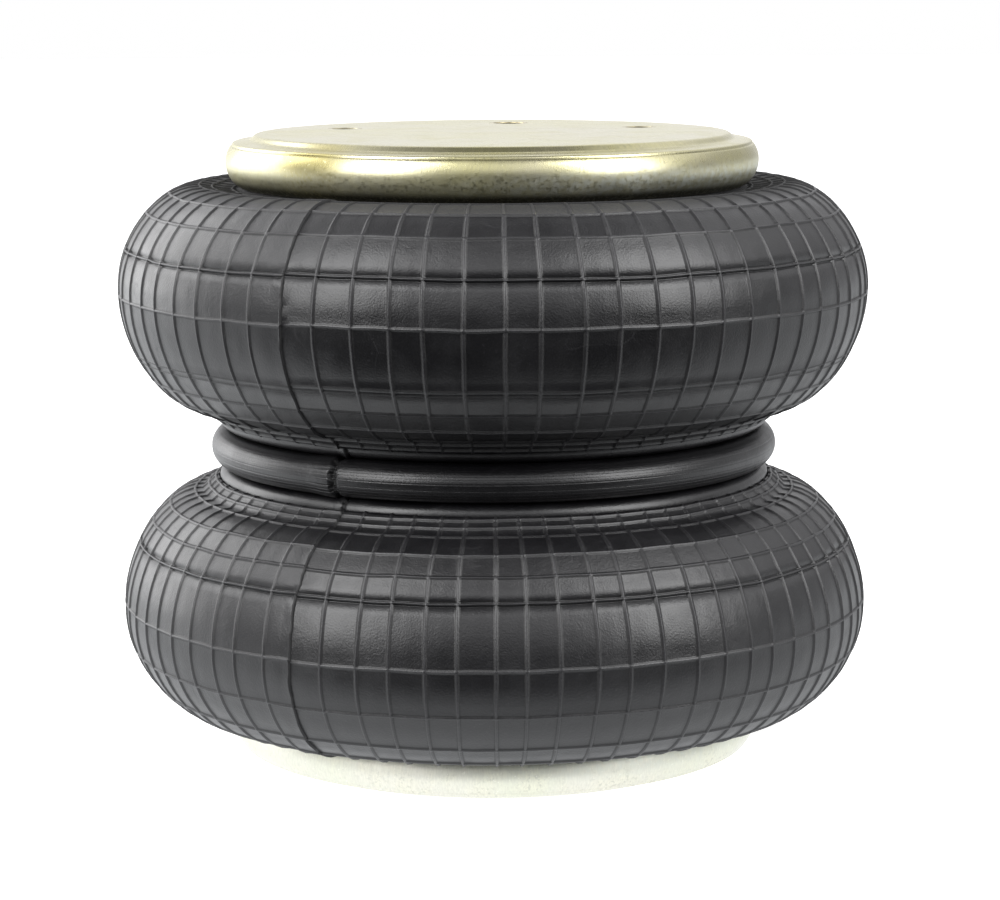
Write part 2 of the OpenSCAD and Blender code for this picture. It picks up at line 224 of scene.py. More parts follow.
def stop_line():
    """Section of the bump stop: foot, waist, rounded head, and the well down to its washer."""
    base, top, foot_r, waist_r, waist_z = 3.05, 85.3, 47, 33, 44.175
    points = [(12.3, base), (foot_r - 1, base), (foot_r, base + 1), (foot_r, base + 11.4)]
    for a in spread(-90, 90, 40):
        s, c = math.sin(math.radians(a)), 1 - math.cos(math.radians(a))
        points.append((waist_r + c * 10 + (c * -4 if a > 0 else 0), waist_z + s * 31.125))
    points += oval((31, top - 8), 8, 8, 8, 0, 90, 12)
    return points + [(15.6, top), (15, top - 0.6), (15, 17.05), (5.3, 17.05), (5.3, 5.35), (12.3, 5.35)]


def girdle_line(depth):
    """Section of the girdle ring: an oval with fine moulded lines on its outer face."""
    fine, share = 0.45, {-41: 1.0, -17: 1.25, 4: 1.0, 29: 0.9}
    lines = [-58, -41, -29, -17, -6, 4, 16, 29, 44, 60]
    marks = sorted({float(a) for a in range(-90, 92, 6)} | {a + d for a in lines for d in (-2.6, 0.0, 2.6)})
    points = []
    for angle in marks + list(range(100, 270, 10)):
        sunk = next((depth / MM * share.get(a, fine) for a in lines if abs(a - angle) < 0.1), 0.0)
        a = math.radians(angle)
        points.append((GIRDLE_R + (GIRDLE_HALF - sunk) * math.cos(a), (GIRDLE_UP - sunk) * math.sin(a)))
    return points


def fitting_line(start, body_r, collar_r, neck_r, mouth):
    """Section of a fitting: body, welded collar under the plate, neck up to the face, then the mouth."""
    end, under = start[1], UNDER_Z
    return [start, (body_r - 0.5, end), (body_r, end + 0.5), (body_r, under - 2.55),
            (collar_r - 0.4, under - 2.55), (collar_r, under - 2.2), (collar_r, under - 0.4),
            (collar_r - 0.3, under - 0.05), (neck_r, under - 0.05), (neck_r, FACE_Z - 0.2),
            (neck_r - 0.2, FACE_Z)] + mouth


class Section:
    """A closed section whose points carry a ring's height, a mask for the ribs and a panel's crown."""

    def __init__(self, points):
        self.points = []
        self.channels = []
        self.follow(points)

    def add(self, point, ring=0.0, ribbed=0.0, crown=0.0):
        self.points.append(point)
        self.channels.append((ring, ribbed, crown))

    def follow(self, points):
        for point in points:
            self.add(point)

    def mesh(self, name):
        """The section as a chain of vertices in the XZ plane, its first point repeated at its end."""
        points = np.array(self.points + self.points[:1])
        ahead = np.roll(points[:-1], -1, 0) - np.roll(points[:-1], 1, 0)
        ahead /= np.maximum(np.linalg.norm(ahead, axis=1, keepdims=True), 1e-9)
        lift = np.stack([ahead[:, 1], np.zeros(len(ahead)), -ahead[:, 0]], 1)
        mesh = bpy.data.meshes.new(name)
        places = [(r * MM, 0.0, z * MM) for r, z in points]
        mesh.from_pydata(places, [(i, i + 1) for i in range(len(points) - 1)], [])
        attribute = mesh.attributes.new("lift", "FLOAT_VECTOR", "POINT")
        attribute.data.foreach_set("vector", np.vstack([lift, lift[:1]]).ravel())
        channels = np.array(self.channels + self.channels[:1], np.float32)
        for channel, values in zip(("ring", "ribbed", "crown"), channels.T.copy()):
            mesh.attributes.new(channel, "FLOAT", "POINT").data.foreach_set("value", values)
        return mesh


def cover_section(grooved, faint):
    """Outer line with a row of stations over each moulded ring, then the heel and the inside."""
    longest = 4.2
    rise = [(120.2, 13.3), (120.9, 13.6), (122.2, 14.7), (123.5, 15.9), (124.8, 17.0), (126.0, 18.1)]
    angles = spread(BULGE_START, BULGE_END, 388)
    neck = neck_line(0.0, 0.0, BEAD_TOP_Z, 8)[:-1]
    line = np.vstack([rise, [bulge_point(a) for a in angles], neck[:1]])
    along = np.concatenate([[0], np.cumsum(np.linalg.norm(np.diff(line, axis=0), axis=1))])

    def point_at(distance):
        return [float(np.interp(distance, along, line[:, k])) for k in (0, 1)]

    rings = [(distance, RIB) for distance in FOOT_RINGS]
    for angle in RING_ANGLES:
        shape = GROOVED_RIB if angle == grooved else FAINT_RIB if angle == faint else RIB
        rings.append((float(np.interp(angle, angles, along[len(rise):-1])), shape))
    rings.append((along[-1] - NECK_RING, RIB))
    section = Section(foot_line(0.0, 8) + foot_arc(0.0, spread(math.pi * 0.57, math.pi * 0.95, 5)))
    edge = 0.0
    for middle, shape in rings:
        start = middle + shape[0][0]
        count = max(1, math.ceil((start - edge) / longest))
        for i in range(0 if edge == 0.0 else 1, count):
            section.add(point_at(edge + (start - edge) * i / count), 0.0, 1.0, math.sin(math.pi * i / count))
        for offset, height in shape:
            section.add(point_at(middle + offset), height, 1.0)
        edge = middle + shape[-1][0]
    section.follow(neck)
    section.follow(oval((BEAD_R, BEAD_Z), 6.5, 5.9, 7.4, -72, 72, 12))
    section.follow(reversed(wall_line(COVER_T, 0.0, BEAD_TOP_Z, 14, 4)))
    return section


# Node trees

class Field:
    """A socket of a node tree, whose arithmetic adds Math nodes."""

    def __init__(self, tree, socket):
        self.tree = tree
        self.socket = socket

    def math(self, operation, *others):
        node = self.tree.nodes.new("ShaderNodeMath")
        node.operation = operation
        for i, value in enumerate((self, *others)):
            feed(self.tree, node.inputs[i], value)
        return Field(self.tree, node.outputs[0])

    def __add__(self, other):
        return self.math("ADD", other)

    def __sub__(self, other):
        return self.math("SUBTRACT", other)

    def __rsub__(self, other):
        return (self * -1.0) + other

    def __mul__(self, other):
        return self.math("MULTIPLY", other)

    def __truediv__(self, other):
        return self.math("DIVIDE", other)

    def __rtruediv__(self, other):
        return self.math("POWER", -1.0) * other

    __radd__ = __add__
    __rmul__ = __mul__

    def ramp(self, low, high, out_low=0.0, out_high=1.0, smooth=False):
        return out(self.tree, "ShaderNodeMapRange",
                   {"Value": self, "From Min": low, "From Max": high, "To Min": out_low, "To Max": out_high},
                   interpolation_type="SMOOTHSTEP" if smooth else "LINEAR")


def feed(tree, socket, value):
    if isinstance(value, Field):
        tree.links.new(value.socket, socket)
    else:
        socket.default_value = value


def add(tree, kind, inputs=None, **settings):
    node = tree.nodes.new(kind)
    for name, value in settings.items():
        setattr(node, name, value)
    for key, value in (inputs or {}).items():
        feed(tree, node.inputs[key], value)
    return node


def out(tree, kind, inputs=None, output=0, **settings):
    return Field(tree, add(tree, kind, inputs, **settings).outputs[output])


def new_group(name, kind, inputs, outputs):
    """A node group and its input fields and output node. An input is given as its default, or as its type."""
    tree = bpy.data.node_groups.new(name, kind)
    for label, given in inputs.items():
        bare = isinstance(given, str)
        named = given if bare else "Int" if isinstance(given, int) else "Float"
        socket = tree.interface.new_socket(label, in_out="INPUT", socket_type="NodeSocket" + named)
        if not bare:
            socket.default_value = given
    for label, named in outputs.items():
        tree.interface.new_socket(label, in_out="OUTPUT", socket_type="NodeSocket" + named)
    source = tree.nodes.new("NodeGroupInput")
    fields = {label: Field(tree, source.outputs[label]) for label in inputs}
    return tree, fields, tree.nodes.new("NodeGroupOutput")


def choose(tree, index, values):
    """The value at that index of a short list."""
    node = tree.nodes.new("GeometryNodeIndexSwitch")
    node.data_type = "FLOAT"
    while len(node.index_switch_items) < len(values):
        node.index_switch_items.new()
    feed(tree, node.inputs[0], index)
    for i, value in enumerate(values):
        feed(tree, node.inputs[i + 1], value)
    return Field(tree, node.outputs[0])


def split(tree, vector):
    node = add(tree, "ShaderNodeSeparateXYZ", {0: vector})
    return [Field(tree, node.outputs[i]) for i in range(3)]


def polar(tree, radius, angle, height):
    return out(tree, "ShaderNodeCombineXYZ",
               {0: radius * angle.math("COSINE"), 1: radius * angle.math("SINE"), 2: height})


def noise(tree, vector, scale, detail, output=0, **inputs):
    return out(tree, "ShaderNodeTexNoise",
               {"Vector": vector, "Scale": scale, "Detail": detail, **inputs}, output)


def polar_grid(tree, section, columns):
    """A grid of columns by the section's points, with the row and column of each of its vertices."""
    rows = out(tree, "GeometryNodeAttributeDomainSize", {"Geometry": section})
    grid = add(tree, "GeometryNodeMeshGrid", {"Vertices X": columns, "Vertices Y": rows})
    index = out(tree, "GeometryNodeInputIndex")
    column = (index / rows + 0.0001).math("FLOOR")
    return grid, index - column * rows, column


def section_at(tree, section, row):
    """The section at a row: its radius, its height, the two parts of its outward direction, and a reader."""
    def read(name, kind="FLOAT"):
        if name == "position":
            source = out(tree, "GeometryNodeInputPosition")
        else:
            source = out(tree, "GeometryNodeInputNamedAttribute", {"Name": name}, data_type=kind)
        return out(tree, "GeometryNodeSampleIndex", {"Geometry": section, "Value": source, "Index": row},
                   data_type=kind)

    radius, _, height = split(tree, read("position", "FLOAT_VECTOR"))
    lift_r, _, lift_z = split(tree, read("lift", "FLOAT_VECTOR"))
    return radius, height, lift_r, lift_z, read


def finish_tree(tree, mesh, material, result):
    mesh = out(tree, "GeometryNodeRealizeInstances", {"Geometry": mesh})
    mesh = out(tree, "GeometryNodeSetMaterial", {"Geometry": mesh, "Material": material})
    feed(tree, result.inputs[0], mesh)
    return tree


def finish_wall(tree, grid, place, attributes, material, result):
    """Puts the grid's vertices in place, stores what the materials read, and closes the seams."""
    uv_map = Field(tree, grid.outputs["UV Map"])
    mesh = out(tree, "GeometryNodeStoreNamedAttribute",
               {"Geometry": Field(tree, grid.outputs["Mesh"]), "Name": "UVMap", "Value": uv_map},
               data_type="FLOAT2", domain="CORNER")
    mesh = out(tree, "GeometryNodeSetPosition", {"Geometry": mesh, "Position": place})
    for name, value in attributes.items():
        mesh = out(tree, "GeometryNodeStoreNamedAttribute", {"Geometry": mesh, "Name": name, "Value": value},
                   data_type="FLOAT", domain="POINT")
    mesh = out(tree, "GeometryNodeMergeByDistance", {"Geometry": mesh, "Distance": 0.00002})
    mesh = out(tree, "GeometryNodeSetShadeSmooth", {"Geometry": mesh})
    return finish_tree(tree, mesh, material, result)


def ribbed_wall_tree():
    """A section turned into a wall with meridional ribs, crowned panels and a lapped splice.
    Each pitch has eight columns: six over the rib and two over the panel."""
    tree, given, result = new_group("ribbed wall", "GeometryNodeTree", {
        "Section": "Geometry", "Ribs": 66, "First Rib": 0.0, "Splice Rib": 10, "Splice Side": 1.0,
        "Splice Step": 0.0009, "Rib Height": 0.0007, "Rib Width": 0.0009, "Panel Crown": 0.0002,
        "Wander": 0.0008, "Seed": 3, "Material": "Material"}, {"Wall": "Geometry"})
    ribs, width, per_pitch = given["Ribs"], given["Rib Width"], 8.0
    grid, row, column = polar_grid(tree, given["Section"], ribs * per_pitch + 1.0)
    radius, height, lift_r, lift_z, read = section_at(tree, given["Section"], row)
    ring, ribbed, crown = read("ring"), read("ribbed"), read("crown")
    number = (column / per_pitch + 0.001).math("FLOOR")
    place = column - number * per_pitch
    pitch = 2 * math.pi / ribs

    def rib_angle(which):
        same = (which + 0.5).math("MODULO", ribs).math("FLOOR")
        stray = out(tree, "FunctionNodeRandomValue", {2: -0.11, 3: 0.11, "ID": same, "Seed": given["Seed"]},
                    output=1, data_type="FLOAT")
        return given["First Rib"] + (which + stray) * pitch

    # Columns counted from the splice, turned round where the lap lies the other way
    from_splice = 2.5 + given["Splice Side"] * (column - given["Splice Rib"] * per_pitch - 2.5)
    near = (from_splice + 10.0).math("MAXIMUM", 0.0).math("MINIMUM", 17.0)
    squeeze = choose(tree, near, [1.0] * 10 + [0.5] * 6 + [1.0] * 2)
    offset = choose(tree, place, [-1.6, -0.95, -0.35, 0.35, 0.95, 1.6, 1.6, 1.6]) * width * squeeze
    bell = choose(tree, place, [0.0, 0.1, 1.0, 1.0, 0.1, 0.0, 0.0, 0.0])
    panel = choose(tree, place, [0.35, 0.0, 0.0, 0.0, 0.0, 0.35, 1.0, 1.0])
    share = (place - 5.0).math("MAXIMUM", 0.0) / 3.0
    here = rib_angle(number) + offset / radius
    after = rib_angle(number + 1.0) - 1.6 * width / radius
    angle = here + (after - here) * share

    # Noise is read on the unribbed wall, so that the closing column meets the first
    spot = polar(tree, radius, angle, height)
    stray_round = noise(tree, spot, 26.0, 2.0)
    stray_along = noise(tree, spot, 31.0, 2.0, Distortion=0.4)
    swell = noise(tree, spot, 60.0, 1.0)
    uneven = noise(tree, spot, 210.0, 2.0)

    lap = choose(tree, near, [0.0, 0.02, 0.05, 0.1, 0.18, 0.3, 0.42, 0.55, 0.7, 0.85,
                              0.95, 1.0, 1.0, -0.6, 0.0, 0.0, 0.0, 0.0])
    cut = choose(tree, near, [0.0] * 12 + [0.1, 1.0, 0.35, 0.0, 0.0, 0.0])
    ragged = choose(tree, near, [0.0] * 10 + [0.0, 0.7, 1.0, 1.0, 0.9, 0.3, 0.0, 0.0])
    jog = (from_splice - 3.0).ramp(0.0, 70.0, 1.0, 0.0) * from_splice.math("GREATER_THAN", 2.6)

    wander = given["Wander"] * ribbed
    angle = angle + ((stray_round - 0.5) * 2.4 * wander + (uneven - 0.5) * ragged * 0.0026 * ribbed) / radius
    shift = ((stray_along - 0.5) * 2.0 + jog * 0.9) * wander
    relief = ring.math("MAXIMUM", bell * ribbed) + ring.math("MINIMUM", 0.0) * (1.0 - bell)
    relief = relief * (1.0 - cut)
    raised = relief * given["Rib Height"] * (0.82 + 0.36 * uneven)
    raised = raised + panel * crown * given["Panel Crown"] * (0.4 + 1.2 * swell)
    raised = raised + lap * given["Splice Step"] * ribbed * (0.7 + 0.6 * uneven)
    at = polar(tree, radius + raised * lift_r - shift * lift_z, angle,
               height + raised * lift_z + shift * lift_r)
    return finish_wall(tree, grid, at, {"rib": relief, "splice": cut * ribbed}, given["Material"], result)


def turned_ring_tree():
    """A section turned about the axis, with an optional lapped splice where the columns crowd together."""
    tree, given, result = new_group("turned ring", "GeometryNodeTree", {
        "Section": "Geometry", "Columns": 192, "Splice Angle": 0.0, "Splice Step": 0.0, "Splice Groove": 0.0,
        "Splice Gap": 1.0, "Crowding": 0.0, "Unevenness": 0.0, "Material": "Material"}, {"Ring": "Geometry"})
    grid, row, column = polar_grid(tree, given["Section"], given["Columns"] + 1.0)
    radius, height, lift_r, lift_z, _ = section_at(tree, given["Section"], row)
    share = column / given["Columns"]
    turn = share * (2 * math.pi)
    turn = turn - given["Crowding"] * turn.math("SINE")
    angle = given["Splice Angle"] + turn
    spot = polar(tree, radius, angle, height)
    slow = noise(tree, spot, 14.0, 1.0)
    quick = noise(tree, spot, 420.0, 2.0)
    past = (turn - 2 * math.pi * share.math("GREATER_THAN", 0.5)) * radius / given["Splice Gap"]
    past = past + (quick - 0.5) * 0.0026
    lap = past.ramp(-0.011, -0.0006, smooth=True) * past.ramp(-0.0003, 0.0002, 1.0, 0.0)
    groove = past.ramp(-0.0002, 0.0005) * past.ramp(0.0012, 0.0026, 1.0, 0.0)
    rolled = height.ramp(0.1296, 0.1276) * radius.ramp(0.111, 0.1125)
    raised = lap * given["Splice Step"] - groove * given["Splice Groove"]
    raised = raised + (slow - 0.5) * rolled * given["Unevenness"]
    at = polar(tree, radius + raised * lift_r, angle, height + raised * lift_z)
    return finish_wall(tree, grid, at, {"splice": groove}, given["Material"], result)


def strand_bundle_tree():
    """A ring of strands, laid in a hexagon and twisted round one another."""
    tree, given, result = new_group("strand bundle", "GeometryNodeTree", {
        "Nothing": "Geometry", "Strands": 19, "Ring Radius": 0.1, "Strand Radius": 0.00045, "Height": 0.0,
        "Twists": 12.0, "Material": "Material"}, {"Bundle": "Geometry"})
    circle = out(tree, "GeometryNodeCurvePrimitiveCircle",
                 {"Resolution": 120, "Radius": given["Ring Radius"]})
    copies = add(tree, "GeometryNodeDuplicateElements", {"Geometry": circle, "Amount": given["Strands"]},
                 domain="SPLINE")
    number = Field(tree, copies.outputs["Duplicate Index"])
    x, y, _ = split(tree, out(tree, "GeometryNodeInputPosition"))
    around = y.math("ARCTAN2", x)
    outer = number.math("GREATER_THAN", 6.5)
    inner = number.math("GREATER_THAN", 0.5) * (1.0 - outer)
    odd = number.math("MODULO", 2.0)
    step = inner * 2.0 + outer * (4.0 - 0.536 * (1.0 - odd))
    lay = (number - 1.0) * inner * (math.pi / 3) + (number - 7.0) * outer * (math.pi / 6)
    lay = lay + around * given["Twists"]
    reach = given["Ring Radius"] + step * given["Strand Radius"] * lay.math("COSINE")
    height = given["Height"] + step * given["Strand Radius"] * lay.math("SINE")
    moved = out(tree, "GeometryNodeSetPosition", {"Geometry": Field(tree, copies.outputs["Geometry"]),
                                                  "Position": polar(tree, reach, around, height)})
    profile = out(tree, "GeometryNodeCurvePrimitiveCircle",
                  {"Resolution": 6, "Radius": given["Strand Radius"] * 0.98})
    mesh = out(tree, "GeometryNodeCurveToMesh", {"Curve": moved, "Profile Curve": profile})
    mesh = out(tree, "GeometryNodeSetShadeSmooth", {"Geometry": mesh})
    return finish_tree(tree, mesh, given["Material"], result)


def thread_tree():
    """The ridge of a screw thread, as a four-sided bar along a helix."""
    tree, given, result = new_group("screw thread", "GeometryNodeTree", {
        "Nothing": "Geometry", "Radius": 0.005, "Length": 0.013, "Pitch": 0.0015, "Ridge": 0.0006,
        "Material": "Material"}, {"Thread": "Geometry"})
    helix = out(tree, "GeometryNodeCurveSpiral",
                {"Resolution": 28, "Rotations": given["Length"] / given["Pitch"],
                 "Start Radius": given["Radius"], "End Radius": given["Radius"], "Height": given["Length"]})
    helix = out(tree, "GeometryNodeSetCurveNormal", {"Curve": helix}, mode="Z_UP")
    profile = out(tree, "GeometryNodeCurvePrimitiveCircle", {"Resolution": 4, "Radius": given["Ridge"]})
    mesh = out(tree, "GeometryNodeCurveToMesh", {"Curve": helix, "Profile Curve": profile, "Fill Caps": True})
    return finish_tree(tree, mesh, given["Material"], result)


TREES = {"ribbed wall": ribbed_wall_tree, "turned ring": turned_ring_tree,
         "strand bundle": strand_bundle_tree, "screw thread": thread_tree}


# Meshes

def new_object(name, data):
    piece = bpy.data.objects.new(name, data)
    bpy.context.scene.collection.objects.link(piece)
    return piece


def evaluated_mesh(piece):
    bpy.context.view_layer.update()
    return bpy.data.meshes.new_from_object(piece.evaluated_get(bpy.context.evaluated_depsgraph_get()))


def tidy_mesh(mesh, material):
    """Leaves a mesh one material and no edge without a face, such as the one along a turned piece's axis."""
    bm = bmesh.new()
    bm.from_mesh(mesh)
    bmesh.ops.delete(bm, geom=[edge for edge in bm.edges if not edge.link_faces], context="EDGES")
    for face in bm.faces:
        face.material_index = 0
    bm.to_mesh(mesh)
    bm.free()
    mesh.materials.clear()
    mesh.materials.append(material)


def grow(name, tree_name, mesh=None, **values):
    """Runs a tree on a mesh and returns a new object with the plain mesh that comes out."""
    tree = bpy.data.node_groups.get(tree_name) or TREES[tree_name]()
    start = bpy.data.meshes.new(name) if mesh is None else mesh
    helper = new_object(name + "_helper", start)
    modifier = helper.modifiers.new("tree", "NODES")
    modifier.node_group = tree
    for item in tree.interface.items_tree:
        key = item.name.replace(" ", "_").lower()
        if item.in_out == "INPUT" and key in values:
            modifier[item.identifier] = values[key]
    grown = evaluated_mesh(helper)
    bpy.data.objects.remove(helper)
    bpy.data.meshes.remove(start)
    tidy_mesh(grown, values["material"])
    grown.name = name
    return new_object(name, grown)


def turned(name, points, slot, columns=192, sharp=None, **values):
    """A section turned about the axis; edges sharper than the given angle in degrees stay crisp."""
    piece = grow(name, "turned ring", Section(points).mesh(name), columns=columns, material=finish_of(slot),
                 **values)
    if sharp:
        piece.data.set_sharp_from_angle(angle=math.radians(sharp))
    return piece


def thread_ridge(name, slot, radius, low, high, pitch, ridge):
    piece = grow(name, "screw thread", radius=radius * MM, length=(high - low) * MM, pitch=pitch,
                 ridge=ridge * MM, material=finish_of(slot))
    piece.data.transform(Matrix.Translation((0, 0, low * MM)))
    return piece


def cut_holes(piece, holes, depth_top, depth_bottom):
    """Drills round holes (x, y, radius in millimetres) through a piece."""
    for x, y, radius in holes:
        mesh = bpy.data.meshes.new("drill")
        bm = bmesh.new()
        bmesh.ops.create_cone(bm, cap_ends=True, segments=64, radius1=radius * MM, radius2=radius * MM,
                              depth=(depth_top - depth_bottom) * MM)
        bm.to_mesh(mesh)
        bm.free()
        mesh.materials.append(piece.data.materials[0])
        mesh.transform(Matrix.Translation((x * MM, y * MM, (depth_top + depth_bottom) / 2 * MM)))
        drill = new_object("drill", mesh)
        modifier = piece.modifiers.new("hole", "BOOLEAN")
        modifier.operation = "DIFFERENCE"
        modifier.solver = "EXACT"
        modifier.object = drill
        cut = evaluated_mesh(piece)
        piece.modifiers.clear()
        piece.data = cut
        bpy.data.objects.remove(drill)
    piece.data.shade_smooth()
    piece.data.set_sharp_from_angle(angle=math.radians(38))


def merge_pieces(name, pieces):
    """Joins meshes of one material into one object, without touching the rest of the scene."""
    bm = bmesh.new()
    for piece in pieces:
        bm.from_mesh(piece.data)
    mesh = bpy.data.meshes.new(name)
    bm.to_mesh(mesh)
    bm.free()
    mesh.materials.append(pieces[0].data.materials[0])
    for piece in pieces:
        bpy.data.objects.remove(piece)
    return new_object(name, mesh)


def hex_nut(name, slot, low, height, corner_r, bore_r, chamfer=0.9, columns=72):
    """A hexagon nut with chamfered corners and a plain bore wall behind its thread."""
    bm = bmesh.new()
    flat = corner_r * math.cos(math.pi / 6)
    turn = [2 * math.pi * i / columns for i in range(columns)]

    def ring(z, reach_at):
        return [bm.verts.new((reach_at(a) * math.cos(a) * MM, reach_at(a) * math.sin(a) * MM, (low + z) * MM))
                for a in turn]

    def side(a):
        return flat / math.cos((a + math.pi / 6) % (math.pi / 3) - math.pi / 6)

    def rounded(a):
        return min(side(a), flat + (corner_r - flat) * 0.05)

    down = chamfer * 0.6
    rings = [ring(0.0, rounded), ring(down, side), ring(height - down, side), ring(height, rounded),
             ring(height, lambda a: bore_r), ring(0.0, lambda a: bore_r)]
    for first, second in zip(rings, rings[1:] + rings[:1]):
        for i in range(columns):
            j = (i + 1) % columns
            bm.faces.new((first[i], first[j], second[j], second[i]))
    bmesh.ops.recalc_face_normals(bm, faces=bm.faces)
    mesh = bpy.data.meshes.new(name)
    bm.to_mesh(mesh)
    bm.free()
    mesh.shade_smooth()
    mesh.set_sharp_from_angle(angle=math.radians(25))
    mesh.materials.append(finish_of(slot))
    return new_object(name, mesh)


# Places, bodies and travel

def place(piece, side="upper"):
    """Moves a half that was drawn above the girdle's middle plane to its end of the spring."""
    move = Matrix.Translation((0, 0, MID_Z * MM))
    if side == "lower":
        move = move @ Matrix.Rotation(math.pi, 4, "X")
    piece.data.transform(move)
    piece.data.update()


def ride_as(piece, body, slot, node):
    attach(piece, body)
    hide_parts(node)


def travel_as(piece, side, node):
    """Works out each vertex's share of the travel, from nothing at the girdle to all of it at the plate, and
    hides the imported part; the share is not put to use.
    """
    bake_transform(piece)
    at = np.zeros(len(piece.data.vertices) * 3)
    piece.data.vertices.foreach_get("co", at)
    at = at.reshape(-1, 3) / MM
    out_r = (np.hypot(at[:, 0], at[:, 1]) - BULGE_R) / BULGE_HALF
    height = np.abs(at[:, 2] - MID_Z) - BULGE_Z
    rise = np.where(height > 0, height / (TOP_Z - BULGE_Z), height / (BULGE_Z - FOOT_Z))
    angle = np.degrees(np.arctan2(rise, out_r))
    reach = np.where(angle > 0, BULGE_END, FOOT_END)
    share = 0.5 + 0.5 * np.sign(angle) * np.minimum(1, np.abs(angle) / reach) ** 1.5
    if side == "lower":
        share = 1 - share
    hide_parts(node)


# Materials

def mottle_group():
    """Soft blotches over a surface: a mask between a low and a high level of noise."""
    tree, given, result = new_group("mottle", "ShaderNodeTree", {
        "Vector": "Vector", "Scale": 20.0, "Detail": 4.0, "Low": 0.4, "High": 0.6}, {"Mask": "Float"})
    blotch = noise(tree, given["Vector"], given["Scale"], given["Detail"], Roughness=0.6)
    feed(tree, result.inputs["Mask"], blotch.ramp(given["Low"], given["High"], smooth=True))


def grain_group():
    """Grain stretched along one direction of the polar surface, as a mask and a normal."""
    tree, given, result = new_group("grain", "ShaderNodeTree", {
        "Vector": "Vector", "Round": 300.0, "Along": 12.0, "Depth": 0.00002},
        {"Mask": "Float", "Normal": "Vector"})
    x, y, z = split(tree, given["Vector"])
    radius = (x * x + y * y).math("SQRT") + 0.00001
    fine = out(tree, "ShaderNodeCombineXYZ", {
        0: x / radius * 0.115 * given["Round"], 1: y / radius * 0.115 * given["Round"],
        2: (z + radius * 0.6) * given["Along"]})
    grain = noise(tree, fine, 1.0, 2.0, Roughness=0.5)
    feed(tree, result.inputs["Mask"], grain.ramp(0.35, 0.65))
    feed(tree, result.inputs["Normal"], bump(tree, grain, given["Depth"]))


def scuff_group():
    """Thin stray scratches: a mask that is 1 on a scratch."""
    tree, given, result = new_group("scuffs", "ShaderNodeTree", {
        "Vector": "Vector", "Scale": 40.0, "Amount": 0.5}, {"Mask": "Float"})
    warp = noise(tree, given["Vector"], 18.0, 3.0, output=1)
    bent = out(tree, "ShaderNodeVectorMath", {0: warp, 1: (0.03, 0.03, 0.03), 2: given["Vector"]},
               operation="MULTIPLY_ADD")
    lines = out(tree, "ShaderNodeTexVoronoi", {"Vector": bent, "Scale": given["Scale"]},
                feature="DISTANCE_TO_EDGE")
    where = noise(tree, given["Vector"], 55.0, 2.0)
    mask = lines.ramp(0.0, 0.012, 1.0, 0.0) * where.ramp(0.52, 0.62) * given["Amount"]
    feed(tree, result.inputs["Mask"], mask)


GROUPS = {"mottle": mottle_group, "grain": grain_group, "scuffs": scuff_group}


def effect(tree, name, vector, **inputs):
    """A shared effect, as its outputs by name."""
    if name not in bpy.data.node_groups:
        GROUPS[name]()
    node = add(tree, "ShaderNodeGroup", node_tree=bpy.data.node_groups[name])
    feed(tree, node.inputs["Vector"], vector)
    for key, value in inputs.items():
        feed(tree, node.inputs[key.capitalize()], value)
    return {socket.name: Field(tree, socket) for socket in node.outputs}


def mottle(tree, vector, scale, low, high, detail=4.0):
    return effect(tree, "mottle", vector, scale=scale, detail=detail, low=low, high=high)["Mask"]


def bump(tree, height, distance, strength=1.0, **normal):
    return out(tree, "ShaderNodeBump",
               {"Height": height, "Distance": distance, "Strength": strength, **normal})


def layered(tree, base, layers):
    """Lays colours over a base, each through its own mask."""
    for mask, colour in layers:
        node = add(tree, "ShaderNodeMix", {"Factor": mask}, data_type="RGBA", clamp_factor=True)
        for i, value in ((6, base), (7, colour)):
            feed(tree, node.inputs[i], (*value, 1.0) if isinstance(value, tuple) else value)
        base = Field(tree, node.outputs[2])
    return base


def shade(colour, factor):
    factors = factor if isinstance(factor, tuple) else (factor,) * 3
    return tuple(min(1.0, c * f) for c, f in zip(colour, factors))


def new_material(name):
    material = bpy.data.materials.new(name + "_finish")
    material.use_nodes = True
    tree = material.node_tree
    tree.nodes.clear()
    shader = tree.nodes.new("ShaderNodeBsdfPrincipled")
    output = tree.nodes.new("ShaderNodeOutputMaterial")
    tree.links.new(shader.outputs[0], output.inputs[0])
    return material, tree, shader, Field(tree, tree.nodes.new("ShaderNodeTexCoord").outputs["Object"])


def dress(tree, shader, base, roughness, normal):
    for name, value in (("Base Color", base), ("Roughness", roughness), ("Normal", normal)):
        feed(tree, shader.inputs[name], value)


